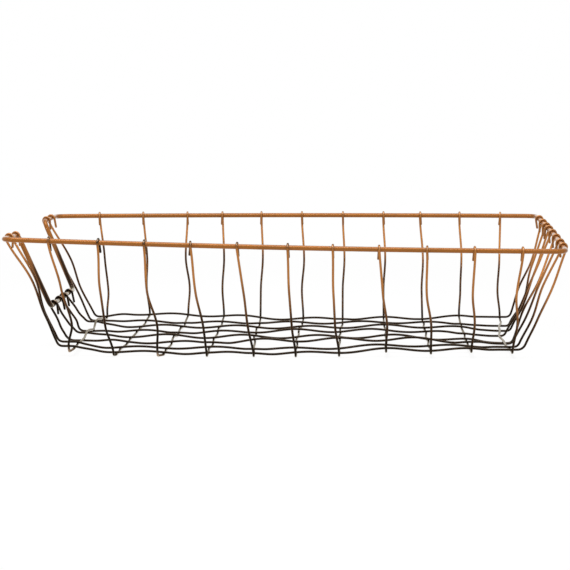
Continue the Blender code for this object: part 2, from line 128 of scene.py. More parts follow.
crossWires = {
    "count": 11,
    "edgeMargin": 0.009,
    "crimp": 0.0006,
    "wallSway": 0.002,
    "flatWire": 6,               # lies flat, and the tray stands on it
    # where each wire hooks over the rails and crosses the floor, as shares of the pitch
    "front": (-0.02, 0.035, 0.025, 0.02, 0.0, 0.08, 0.04, 0.03, 0.04, 0.06, 0.075),
    "rear": (0.15, 0.24, 0.34, 0.22, 0.19, 0.19, 0.21, 0.21, 0.12, 0.095, 0.11),
    "floorFront": (0.05, 0.01, 0.08, 0.08, 0.14, 0.09, 0.07, 0.13, 0.14, 0.05, -0.03),
    "floorRear": (0.05, 0.15, 0.14, 0.06, 0.00, 0.10, 0.11, 0.16, 0.15, 0.09, 0.13),
    "bow": 0.001,                # the shares below bend each floor run sideways at its middle
    "bowShares": (0.0, 0.0, 0.0, 0.0, -2.0, -2.0, -1.2, 0.8, 0.0, 0.0, -5.3),
    "phase": (0.10, 0.20, 0.15, 0.20, 0.25, 0.20, 0.30, 0.35, 0.40, 0.30, 0.45),
    "reflectingFeet": (1, 3),          # wires whose front foot is painted pale as a painted reflection, and how pale
    "footReflection": 1.1,
    # sideways jog under the front wall, as shares of the pitch, and how far the foot drops there
    "footFront": (-0.09, -0.04, -0.11, 0.0, 0.0, 0.0, 0.0, 0.0, 0.0, 0.0, 0.0),
    "sagFront": (0.0019, 0.0, 0.0, 0.0, 0.0, 0.0, 0.0, 0.0, 0.0, 0.0, 0.0),
    # how far each wire strays sideways on its walls, as shares of wallSway
    "frontHigh": (1.7, -1.7, -1.1, -0.8, -0.1, -0.7, -0.8, 0.2, -0.85, -0.4, -0.9),
    "frontLow": (3.3, -1.8, 1.3, 0.25, -0.6, -0.7, -0.95, 1.1, 0.5, 0.9, 0.8),
    "rearHigh": (0.85, 0.5, -1.0, 0.4, 0.8, 0.8, 0.8, 0.9, 1.0, 1.1, -0.3),
    "rearLow": (1.4, -0.7, 0.8, -0.6, 0.0, -0.5, 0.0, 0.0, 0.0, 0.6, -1.1),
    # how far each tail tip swings, and the copper added on each hook
    "frontTail": (0.9, 1.2, 0.3, -0.8, 0.8, 0.6, 0.3, -0.5, 0.4, -0.9, -0.7),
    "rearTail": (0.4, 0.3, 0.6, -0.3, -0.2, 0.5, 0.2, 0.5, 0.6, 0.2, -0.9),
    "frontSpray": (-1.3, -1.9, -1.6, -1.3, -1.2, -1.1, -0.8, -0.6, -0.5, -0.3, -0.3),
    "rearSpray": (-0.5, -0.4, -0.4, -0.5, -0.3, -0.4, -0.5, -0.4, -0.4, -0.5, -0.5),
}

longWires = {
    "count": 8,
    "edgeMargin": 0.006,
    "crimp": 0.003,
    "crimpRise": 0.00095,        # how high the waves also rise, and each wire's share of it
    "crimpRiseShares": (0.85, 0.65, 1.25, 1.25, 1.1, 1.0, 0.75, 0.9),
    "wallSway": 0.004,
    "lie": 0.001,                # the shares below tell how high the bent floor lies
    "lieShares": (               # left end, left quarter, middle, right quarter, right end
        (1.8, -0.5, -0.2, 3.5, 3.6),
        (0.4, 0.5, -0.1, 3.3, 2.2),
        (0.9, -0.7, 1.8, 2.5, -0.9),
        (1.3, 1.2, 1.8, 3.0, -1.3),
        (1.4, -0.2, 1.9, 2.5, -2.7),
        (1.1, 0.9, 0.6, 2.4, 0.2),
        (1.4, 0.1, 0.3, 1.1, -1.0),
        (4.6, 2.9, -0.3, 0.7, 3.0),
    ),
    "leftTurn": (3.8, 5.2, 0.6, 2.3, -0.8, 4.2, 0.1, -3.9),  # shares of lie added at the very ends
    "rightTurn": (0.0, 0.0, -0.9, -0.8, 0.0, -1.9, -1.2, -0.8),
    "turnStart": 0.8,            # where the very ends start, as a share of the half floor
    "turnPower": 2.5,
    "diveStart": 0.12,           # where in the very ends a low wire dives under a cross wire,
    "diveShare": 0.55,           # and how long it takes
    "settle": 0.0003,            # blur where a long wire comes to lie on what carries it
    "sink": 0.0009,              # how far a long wire may dip between two crossings
    # where each floor run starts and ends, as shares of the pitch
    "leftSpot": (0.03, -0.17, -0.10, 0.00, -0.05, 0.0, 0.0, 0.0),
    "rightSpot": (0.03, -0.17, 0.30, -0.55, -0.10, -0.15, 0.0, 0.0),
    "firstLow": 3,               # the low wires, which end under the first and last cross wires
    "lastLow": 7,
    # places of the hooks as shares of their pitch, and phases of the waves in turns
    "left": (-0.04, -0.04, -0.15, -0.09, -0.20, -0.17, 0.16, 0.01),
    "right": (0.0, -0.06, 0.11, 0.24, 0.25, 0.05, -0.01, 0.04),
    "phase": (-0.23, -0.39, 0.16, -0.11, -0.42, -0.24, -0.54, -0.20),
    # how far each wire strays inwards on its walls, as shares of wallSway
    "leftHigh": (1.1, 0.9, 0.1, -0.35, 0.3, 0.0, -0.2, 0.75),
    "leftLow": (0.3, -0.2, -0.1, -0.3, 0.45, -0.2, 0.2, -0.2),
    "rightHigh": (-0.5, 0.4, 0.0, -0.35, -0.3, -0.4, -0.2, -0.6),
    "rightLow": (-0.25, -0.35, -0.35, 0.4, -0.5, -0.7, -1.2, 0.2),
    "foot": 0.001,               # the shares below move each floor bend along the tray
    "leftFoot": (-2.0, -5.5, -2.5, 0.0, -0.5, 0.5, 0.0, 0.5),
    "rightFoot": (-0.8, -3.4, -4.3, -4.4, -7.6, 0.0, 1.4, 4.7),
    # each bend as a share of the bend radius, and how far each tail tip leans right and swings
    "leftBend": (1.1, 1.3, 2.2, 1.5, 1.2, 1.1, 1.1, 1.2),
    "rightBend": (1.7, 1.2, 1.2, 1.2, 1.0, 1.0, 0.7, 1.2),
    "leftLean": (-0.5, 0.5, 1.2, 1.8, 1.8, 2.0, 0.4, 1.6),
    "rightLean": (1.3, 0.5, 0.5, 0.9, -1.0, 0.0, 0.3, 1.6),
    "leftTail": (0.4, -0.3, -0.9, 0.6, 0.4, -0.2, 0.3, 0.8),
    "rightTail": (0.5, -0.6, 0.3, -0.4, 0.7, -0.3, 0.5, 0.6),
    # the copper added on each hook
    "leftSpray": (-0.2, -0.3, -1.5, -1.5, -1.5, -1.5, -0.3, -0.2),
    "rightSpray": (-0.5, -0.4, -0.5, -0.3, -0.4, -0.5, -0.4, -0.3),
}

crossPitch = (floorRight - floorLeft - 2 * crossWires["edgeMargin"]) / (crossWires["count"] - 1)
longPitch = 2 * (floorHalfWidth - longWires["edgeMargin"]) / (longWires["count"] - 1)
crossHookPitch = 2 * rimHalfLength / (crossWires["count"] + 1)
longHookPitch = 2 * rimHalfWidth / (longWires["count"] + 1)
endCrossReach = (floorRight - floorLeft) / 2 - crossWires["edgeMargin"]


# rim

def rimHeight(x, y):
    along = (1 + x / rimHalfLength) / 2
    across = (1 + y / rimHalfWidth) / 2
    arch = 4 * along * (1 - along)
    front = blend(rimWire["frontLeftWarp"], rimWire["frontRightWarp"], along)
    rear = blend(rimWire["rearLeftWarp"], rimWire["rearRightWarp"], along)
    warp = blend(front + rimWire["frontBow"] * arch, rear + rimWire["rearBow"] * arch, across)
    return rimWire["height"] + rimWire["warp"] * warp


def rightRimX(y):
    return rimHalfLength + rimWire["rightBow"] * (rimWire["bowPast"] - (y / rimHalfWidth) ** 2)


def leftRimX(y):
    return rimWire["leftSkew"] * (1 + y / rimHalfWidth) / 2 - rimHalfLength


def longHookY(wire, side):
    return longHookPitch * (wire + 1 + longWires[side][wire]) - rimHalfWidth


def crossHookX(wire, side):
    return crossHookPitch * (wire + 1 + crossWires[side][wire]) - rimHalfLength


def dipEdges():
    after, before = rimWire["dipAfterWire"], rimWire["dipBeforeWire"]
    hooks = [longHookY(wire, "left") for wire in (after - 1, after, before - 2, before - 1)]
    front = blend(hooks[0], hooks[1], rimWire["dipFrontShare"])
    rear = blend(hooks[2], hooks[3], rimWire["dipRearShare"])
    return front, rear


def dipPoint(y):
    lean = rimWire["dipDrop"] * thinWire["flareLeft"] / rimWire["height"]
    return Vector((lean - rimHalfLength, y, rimHeight(-rimHalfLength, y) - rimWire["dipDrop"]))


def leftRimPoint(y):
    front, rear = dipEdges()
    if front < y < rear:
        return dipPoint(front).lerp(dipPoint(rear), (y - front) / (rear - front))
    sag = rimWire["dipSag"] * (y + rimHalfWidth) / (front + rimHalfWidth) if y <= front else 0
    return Vector((leftRimX(y), y, rimHeight(-rimHalfLength, y) - sag))


def roundedCorner(before, corner, after, radius):
    toBefore = (before - corner).normalized()
    toAfter = (after - corner).normalized()
    halfAngle = toBefore.angle(toAfter) / 2
    reach = radius / math.tan(halfAngle)
    centre = corner + (toBefore + toAfter).normalized() * radius / math.sin(halfAngle)
    start = corner + toBefore * reach - centre
    end = corner + toAfter * reach - centre
    turn = start.angle(end)
    points = []
    for step in range(rimWire["cornerSteps"] + 1):
        part = turn * step / rimWire["cornerSteps"]
        spoke = (start * math.sin(turn - part) + end * math.sin(part)) / math.sin(turn)
        points.append(centre + spoke)
    return points


def rimPath():
    front, rear = dipEdges()
    rightCorner = rightRimX(rimHalfWidth)
    corners = []

    def rail(xFrom, xTo, side):
        for step in range(rimWire["railSteps"]):
            x = blend(xFrom, xTo, step / rimWire["railSteps"])
            y = side * rimHalfWidth
            point = Vector((x, y, rimHeight(x, y)))
            corners.append((point, 0 if step else rimWire["cornerRadius"]))

    rail(-rimHalfLength, rightCorner, -1)
    for step in range(rimWire["endSteps"]):
        y = blend(-rimHalfWidth, rimHalfWidth, step / rimWire["endSteps"])
        point = Vector((rightRimX(y), y, rimHeight(rimHalfLength, y)))
        corners.append((point, 0 if step else rimWire["cornerRadius"]))
    rail(rightCorner, leftRimX(rimHalfWidth), 1)
    corners.append((leftRimPoint(rimHalfWidth), rimWire["cornerRadius"]))
    for y, lowFirst in ((rear, False), (front, True)):
        top = leftRimPoint(y)
        pair = [dipPoint(y), top] if lowFirst else [top, dipPoint(y)]
        corners.extend((point, rimWire["dipCornerRadius"]) for point in pair)

    path = []
    for index, (corner, radius) in enumerate(corners):
        if radius:
            before, after = corners[index - 1][0], corners[(index + 1) % len(corners)][0]
            path.extend(roundedCorner(before, corner, after, radius))
        else:
            path.append(corner)
    return path


# thin wires: tail, hook over the rim, wall and floor bend at each end

def wallSway(share, high, low):
    stops = ((0, 0), (thinWire["swayHigh"], high), (thinWire["swayLow"], low), (1, 0))
    for (stop, value), (nextStop, nextValue) in zip(stops, stops[1:]):
        if share <= nextStop:
            return blend(value, nextValue, ease((share - stop) / (nextStop - stop)))
    return 0


def wireEnd(rim, corner, outward, hookSide, floorSide, sideSway, inwardSway, tail, spray,
            bend=1, footReflection=0):
    # points are (along, across, height, spray, painted highlight), tail tip first
    tailSteps, hookSteps = thinWire["tailSteps"], thinWire["hookSteps"]
    wallSteps, bendSteps = thinWire["wallSteps"], thinWire["bendSteps"]
    rise = Vector((outward * (rim[0] - corner[0]), rim[1] - corner[1]))
    slope = math.atan2(rise.y, rise.x) - math.asin(hookRadius / rise.length)
    upWall = Vector((math.cos(slope), math.sin(slope)))
    inward = Vector((-math.sin(slope), math.cos(slope)))
    centre = Vector((outward * rim[0], rim[1]))
    foot = Vector((outward * corner[0], corner[1]))
    points = []

    wound = thinWire["wound"] * tail[0]
    for step in range(tailSteps):
        left = 1 - step / tailSteps
        swing, lean = (value * thinWire["tailUnit"] * left for value in tail)
        points.append((centre.x - hookRadius + outward * lean, hookSide + wound + swing,
                       centre.y - thinWire["tail"] * left, spray, 0))
    turn = math.pi * 3 / 2 - slope
    fadeSpan = thinWire["sprayEnd"] - thinWire["sprayFade"]
    for step in range(hookSteps + 1):
        share = step / hookSteps
        angle = math.pi - turn * share
        spot = centre + Vector((math.cos(angle), math.sin(angle))) * hookRadius
        aside = wound * (1 - ease(share))
        left = 1 - ease((share - thinWire["sprayFade"]) / fadeSpan)
        # painted highlight on the outside of the hook's crown, where a glint of the lamps would be
        highlightAmount = sum(ease(1 - abs(share - glint) / thinWire["highlightSpan"]) for glint in thinWire["highlightSpots"])
        points.append((spot.x, hookSide + aside, spot.y, spray * left, highlightAmount))

    bendRadius = thinWire["bendRadius"] * bend
    reach = bendRadius * math.tan(slope / 2)
    start = centre - inward * hookRadius
    end = foot + upWall * reach
    for step in range(1, wallSteps):
        share = step / wallSteps
        spot = start.lerp(end, share) + inward * wallSway(share, *inwardSway)
        across = blend(hookSide, floorSide, share) + wallSway(share, *sideSway)
        points.append((spot.x, across, spot.y, 0, 0))
    bendCentre = foot + Vector((-reach, bendRadius))
    # painted reflection on the floor bend, as strong as footReflection
    for step in range(bendSteps + 1):
        angle = slope - math.pi / 2 - slope * step / bendSteps
        spot = bendCentre + Vector((math.cos(angle), math.sin(angle))) * bendRadius
        points.append((spot.x, floorSide, spot.y, 0, footReflection))
    return [(outward * along, *rest) for along, *rest in points]


# floor: where both sets of wires run, where they cross, and how high they lie

def crimpFade(place, first, last):
    pastFirst = place - first - thinWire["crimpCalm"]
    beforeLast = last - thinWire["crimpCalm"] - place
    return ease(pastFirst / thinWire["crimpFade"]) * ease(beforeLast / thinWire["crimpFade"])


def crossFloorX(wire, y=0):
    across = (1 + y / floorHalfWidth) / 2
    drift = blend(crossWires["floorFront"][wire], crossWires["floorRear"][wire], across)
    bow = crossWires["bow"] * crossWires["bowShares"][wire] * ease(1 - abs(y) / floorHalfWidth)
    return floorLeft + crossWires["edgeMargin"] + crossPitch * (wire + drift) + bow


def longFloorY(wire, x=0):
    along = (x - floorLeft) / (floorRight - floorLeft)
    drift = blend(longWires["leftSpot"][wire], longWires["rightSpot"][wire], along)
    return longWires["edgeMargin"] - floorHalfWidth + longPitch * (wire + drift)


def crossWireX(wire, y):
    fade = crimpFade(y, longFloorY(0), longFloorY(longWires["count"] - 1))
    wave = math.cos(math.tau * (y / thinWire["crimpLength"] - crossWires["phase"][wire]))
    return crossFloorX(wire, y) + crossWires["crimp"] * fade * wave


def longCrimp(wire, x):
    fade = crimpFade(x, crossFloorX(0), crossFloorX(crossWires["count"] - 1))
    return fade, -math.cos(math.tau * (x / thinWire["crimpLength"] - longWires["phase"][wire]))


def longWireY(wire, x):
    fade, wave = longCrimp(wire, x)
    return longFloorY(wire, x) + longWires["crimp"] * fade * wave


def crossing(cross, long):
    x, y = crossFloorX(cross), longFloorY(long)
    for _ in range(thinWire["crossingRounds"]):
        x = crossWireX(cross, y)
        y = longWireY(long, x)
    return x, y


def isLow(wire):
    return longWires["firstLow"] <= wire + 1 <= longWires["lastLow"]


def longWireLie(wire, place):
    shares = longWires["lieShares"][wire]
    station = clamp((place + 1) / 2) * (len(shares) - 1)
    first = min(int(station), len(shares) - 2)
    lie = blend(shares[first], shares[first + 1], ease(station - first))
    turn = clamp((abs(place) - longWires["turnStart"]) / (1 - longWires["turnStart"]))
    if place < 0:
        lie += longWires["leftTurn"][wire] * turn ** longWires["turnPower"]
    else:
        lie += longWires["rightTurn"][wire] * ease(turn)
    return longWires["lie"] * lie, turn


def longWireLevel(wire, x):
    fade, wave = longCrimp(wire, x)
    lie, turn = longWireLie(wire, (x - floorMiddle) / endCrossReach)
    rise = longWires["crimpRise"] * longWires["crimpRiseShares"][wire]
    dive = clamp((turn - longWires["diveStart"]) / longWires["diveShare"]) if isLow(wire) else 0
    lowest = restHeight + stepUp * (1 - dive)
    if not turn:
        away = min(abs(x - crossing(cross, wire)[0]) for cross in range(crossWires["count"]))
        lowest -= longWires["sink"] * ease(2 * away / crossPitch)
    return softMax(lowest, restHeight + stepUp + lie + rise * fade * wave, longWires["settle"])


def crossWireLevel(cross, long):
    if cross + 1 == crossWires["flatWire"]:
        return restHeight
    atEnd = cross in (0, crossWires["count"] - 1)
    step = stepUp if atEnd and isLow(long) else -stepUp
    return longWireLevel(long, crossing(cross, long)[0]) + step


def wallSways(wires, side, wire):
    return [wires["wallSway"] * wires[side + place][wire] for place in ("High", "Low")]


def crossWirePath(wire):
    # painted reflection: the front foot of these wires is made pale
    highlightAmount = crossWires["footReflection"] if wire + 1 in crossWires["reflectingFeet"] else 0
    steps = thinWire["spanSteps"]
    floor = []
    for long in range(longWires["count"]):
        y, level = crossing(wire, long)[1], crossWireLevel(wire, long)
        if floor:
            lastY, lastLevel = floor[-1][0], floor[-1][2]
            for step in range(1, steps):
                between = blend(lastY, y, step / steps)
                height = blend(lastLevel, level, ease(step / steps))
                floor.append((between, crossWireX(wire, between), height, 0, 0))
        floor.append((y, crossWireX(wire, y), level, 0, 0 if long else highlightAmount))
    ends = []
    for outward, side, level in ((-1, "front", floor[0][2]), (1, "rear", floor[-1][2])):
        hookX = crossHookX(wire, side)
        rimY, footY = outward * rimHalfWidth, outward * floorHalfWidth
        rim = (rimY, rimHeight(hookX, rimY))
        sway = wallSways(crossWires, side, wire)
        tail = (crossWires[side + "Tail"][wire], 0)
        footX, footReflection = crossFloorX(wire, footY), 0
        if side == "front":
            footX += crossPitch * crossWires["footFront"][wire]
            level -= crossWires["sagFront"][wire]
            footReflection = highlightAmount
        ends.append(wireEnd(rim, (footY, level), outward, hookX, footX, sway, (0, 0), tail,
                            crossWires[side + "Spray"][wire], footReflection=footReflection))
    return [(x, y, *rest) for y, x, *rest in ends[0] + floor + ends[1][::-1]]


def longWirePath(wire):
    first, last = (crossing(end, wire)[0] for end in (0, crossWires["count"] - 1))
    steps = thinWire["spanSteps"] * crossWires["count"]
    floor = []
    for step in range(steps + 1):
        x = blend(first, last, step / steps)
        floor.append((x, longWireY(wire, x), longWireLevel(wire, x), 0, 0))
    leftY, rightY = longHookY(wire, "left"), longHookY(wire, "right")
    leftRim = leftRimPoint(leftY)
    rightRim = (rightRimX(rightY), rimHeight(rimHalfLength, rightY))
    ends = []
    for outward, side, hookY, rim, cornerX, level in (
            (-1, "left", leftY, (leftRim.x, leftRim.z), floorLeft, floor[0][2]),
            (1, "right", rightY, rightRim, floorRight, floor[-1][2])):
        cornerX += longWires["foot"] * longWires[side + "Foot"][wire]
        footY = longFloorY(wire, cornerX)
        sway = wallSways(longWires, side, wire)
        tail = (longWires[side + "Tail"][wire], longWires[side + "Lean"][wire])
        ends.append(wireEnd(rim, (cornerX, level), outward, hookY, footY, (0, 0), sway, tail,
                            longWires[side + "Spray"][wire], longWires[side + "Bend"][wire]))
    return ends[0] + floor + ends[1][::-1]


# coat: copper sprayed from outside and above over dark bronze, thinning towards the floor

coat = {
    "outsideHeight": 0.041,      # where the copper gives way on faces turned outwards
    "insideHeight": 0.062,       # and on faces turned inwards
    "outsideSoft": 0.026,
    "insideSoft": 0.012,
    "lengthDrop": 0.012,         # the copper reaches lower towards the right end
    "insideDust": -0.3,          # least cover on wall faces turned inwards, above the floor bends
    "dustHeight": 0.014,
    "bronze": (0.0120, 0.0058, 0.0020),
    "thin": (0.052, 0.021, 0.006),
    "mid": (0.24, 0.095, 0.026),
    "wireCopper": (0.43, 0.172, 0.043),
    "rimCopper": (0.295, 0.103, 0.017),
    "bronzeMetal": 0.9,
    "wireMetal": 0.5,
    "rimMetal": 0.2,
    "wireBump": 0.3,
    "rimBump": 0.1,
    "wireShine": 0.05,
    "rimShine": 0.1,
    "wireTint": (1.0, 0.89, 0.70),
    "rimTint": (1.0, 0.88, 0.62),
    # painted highlight: a pale colour mixed onto hook crowns and two front feet in place of glints
    # and reflections
    "paintedHighlight": (0.80, 0.56, 0.38),
    "glint": 0.35,
    "stops": (0.0, 0.34, 0.66, 1.0),  # bronze, thin, mid and copper
    "metalStops": (0.3, 0.7),
    "roughStops": ((0.2, 0.16), (0.9, 0.28)),
    "blotchTone": ((0.3, 0.88), (0.7, 1.0)),
    "wireGrain": 1400,           # scales of the noises
    "rimGrain": 1100,
    "wireBlotch": 38,
    "rimBlotch": 30,
    "peel": 2600,
    "noiseDetail": 3,
    "peelDetail": 2,
    "grainCover": 0.25,          # how much the speckle and the soft patches move the cover,
    "blotchCover": 0.7,
    "grainRough": 0.08,          # and the speckle the roughness
    "bumpDepth": 0.00003,
    "wireLacquer": 0.3,          # clear lacquer over the metal
    "wireGloss": 1.3,
    "rimLacquer": 1.0,
    "rimGloss": 1.2,
    "lacquerRough": 0.06,
}


def sprayedWire(name, kind="wire"):
    made = bpy.data.materials.new(name)
    made.use_nodes = True
    tree = made.node_tree
    shader = tree.nodes["Principled BSDF"]
    place = tree.nodes.new("ShaderNodeTexCoord").outputs["Object"]

    def noise(scale, detail):
        node = tree.nodes.new("ShaderNodeTexNoise")
        node.inputs["Scale"].default_value = scale
        node.inputs["Detail"].default_value = detail
        tree.links.new(place, node.inputs["Vector"])
        return node.outputs["Fac"]

    def maths(operation, a, b, c=None):
        node = tree.nodes.new("ShaderNodeMath")
        node.operation = operation
        for socket, value in zip(node.inputs, (a, b, c)):
            if isinstance(value, (int, float)):
                socket.default_value = value
            elif value is not None:
                tree.links.new(value, socket)
        return node.outputs[0]

    def ramp(factor, stops):
        node = tree.nodes.new("ShaderNodeValToRGB")
        tree.links.new(factor, node.inputs["Fac"])
        bands = node.color_ramp.elements
        while len(bands) < len(stops):
            bands.new(0.5)
        for band, (position, value) in zip(bands, stops):
            band.position = position
            band.color = (*value, 1) if isinstance(value, tuple) else (value, value, value, 1)
        return node.outputs["Color"]

    def attribute(label):
        node = tree.nodes.new("ShaderNodeAttribute")
        node.attribute_name = label
        return node.outputs["Fac"]

    # how much copper lies on the bronze, from 0 to 1
    speckle = noise(coat[kind + "Grain"], coat["noiseDetail"])
    patches = noise(coat[kind + "Blotch"], coat["noiseDetail"])
    cover = attribute("copperCover")
    cover = maths("MULTIPLY_ADD", maths("SUBTRACT", speckle, 0.5), coat["grainCover"], cover)
    cover = maths("MULTIPLY_ADD", maths("SUBTRACT", patches, 0.5), coat["blotchCover"], cover)
    share = maths("MULTIPLY_ADD", cover, 0.5, 0.5)

    colors = (coat["bronze"], coat["thin"], coat["mid"], coat[kind + "Copper"])
    tone = tree.nodes.new("ShaderNodeMix")
    tone.data_type = "RGBA"
    tone.blend_type = "MULTIPLY"
    tone.inputs["Factor"].default_value = 1
    tree.links.new(ramp(share, tuple(zip(coat["stops"], colors))), tone.inputs["A"])
    tree.links.new(ramp(patches, coat["blotchTone"]), tone.inputs["B"])
    # painted highlight mixed over the coat
    bright = tree.nodes.new("ShaderNodeMix")
    bright.data_type = "RGBA"
    tree.links.new(maths("MULTIPLY", attribute("paintedHighlight"), coat["glint"]), bright.inputs["Factor"])
    tree.links.new(tone.outputs["Result"], bright.inputs["A"])
    bright.inputs["B"].default_value = (*coat["paintedHighlight"], 1)
    tree.links.new(bright.outputs["Result"], shader.inputs["Base Color"])

    metals = (coat["bronzeMetal"], coat[kind + "Metal"])
    tree.links.new(ramp(share, tuple(zip(coat["metalStops"], metals))), shader.inputs["Metallic"])
    rough = maths("MULTIPLY_ADD", speckle, coat["grainRough"], ramp(share, coat["roughStops"]))
    tree.links.new(rough, shader.inputs["Roughness"])
    bump = tree.nodes.new("ShaderNodeBump")
    bump.inputs["Strength"].default_value = coat[kind + "Bump"]
    bump.inputs["Distance"].default_value = coat["bumpDepth"]
    tree.links.new(noise(coat["peel"], coat["peelDetail"]), bump.inputs["Height"])
    tree.links.new(bump.outputs["Normal"], shader.inputs["Normal"])
    shader.inputs["Specular IOR Level"].default_value = coat[kind + "Shine"]
    shader.inputs["Specular Tint"].default_value = (*coat[kind + "Tint"], 1)
    shader.inputs["Coat Weight"].default_value = coat[kind + "Lacquer"]
    shader.inputs["Coat IOR"].default_value = coat[kind + "Gloss"]
    shader.inputs["Coat Roughness"].default_value = coat["lacquerRough"]
    return made


# geometry nodes: one tree sweeps every wire along its path and lays the copper on it

class Tree:
    def __init__(self, name, inputs):
        self.group = bpy.data.node_groups.new(name, "GeometryNodeTree")
        panel = self.group.interface
        for label, kind in inputs:
            panel.new_socket(label, in_out="INPUT", socket_type="NodeSocket" + kind)
        panel.new_socket("Geometry", in_out="OUTPUT", socket_type="NodeSocketGeometry")
        self.given = self.group.nodes.new("NodeGroupInput").outputs
        self.result = self.group.nodes.new("NodeGroupOutput").inputs

    def add(self, kind, sockets=(), **settings):
        node = self.group.nodes.new(kind)
        for key, value in settings.items():
            setattr(node, key, value)
        for socket, value in dict(sockets).items():
            target = node.inputs[socket]
            if isinstance(value, bpy.types.NodeSocket):
                self.group.links.new(value, target)
            else:
                target.default_value = value
        return node

    def math(self, operation, *values):
        return self.add("ShaderNodeMath", enumerate(values), operation=operation).outputs[0]

    def vector(self, operation, *values, output="Vector"):
        node = self.add("ShaderNodeVectorMath", enumerate(values), operation=operation)
        return node.outputs[output]

    def ramp(self, value, low, high, outLow=0.0, outHigh=1.0):
        values = {"Value": value, "From Min": low, "From Max": high, "To Min": outLow,
                  "To Max": outHigh}
        return self.add("ShaderNodeMapRange", values, interpolation_type="SMOOTHSTEP").outputs[0]

    def mix(self, share, low, high):
        return self.add("ShaderNodeMix", {"Factor": share, "A": low, "B": high}).outputs["Result"]

    def stored(self, label):
        sockets = {"Name": label}
        return self.add("GeometryNodeInputNamedAttribute", sockets, data_type="FLOAT").outputs[0]

    def store(self, geometry, label, value):
        sockets = {"Geometry": geometry, "Name": label, "Value": value}
        return self.add("GeometryNodeStoreNamedAttribute", sockets, data_type="FLOAT",
                        domain="POINT").outputs[0]

    def finish(self, geometry, material):
        whole = self.add("GeometryNodeRealizeInstances", {"Geometry": geometry}).outputs[0]
        painted = self.add("GeometryNodeSetMaterial", {"Geometry": whole, "Material": material})
        self.group.links.new(painted.outputs[0], self.result[0])

    def run(self, source, name, values):
        modifier = source.modifiers.new(name, "NODES")
        modifier.node_group = self.group
        for item in self.group.interface.items_tree:
            if item.name in values:
                modifier[item.identifier] = values[item.name]
        graph = bpy.context.evaluated_depsgraph_get()
        mesh = bpy.data.meshes.new_from_object(source.evaluated_get(graph), depsgraph=graph)
        source.modifiers.remove(modifier)
        bpy.data.objects.remove(source)
        piece = bpy.data.objects.new(name, mesh)
        bpy.context.collection.objects.link(piece)
        return piece


swept = {
    "smoothing": 3,              # rounds of blur that soften the bends of a path
    "tipShare": 1 / 3,           # length of a sheared tip, as a share of the wire
    "tipScale": 0.72,
    "levelReach": 10.0,          # so far that height hardly tells what is outwards
    "turned": (-0.5, 0.6),       # from faces turned inwards to faces turned outwards
    "dusty": (-0.7, 0.1),        # from dusted faces to bare ones
    "dustStart": 0.3,            # dust starts at this share of its height
    "bare": -2.0,                # least cover where there is no dust
    "highlightFacing": (0.2, 0.5),      # how far a face with painted highlight looks up or down
}


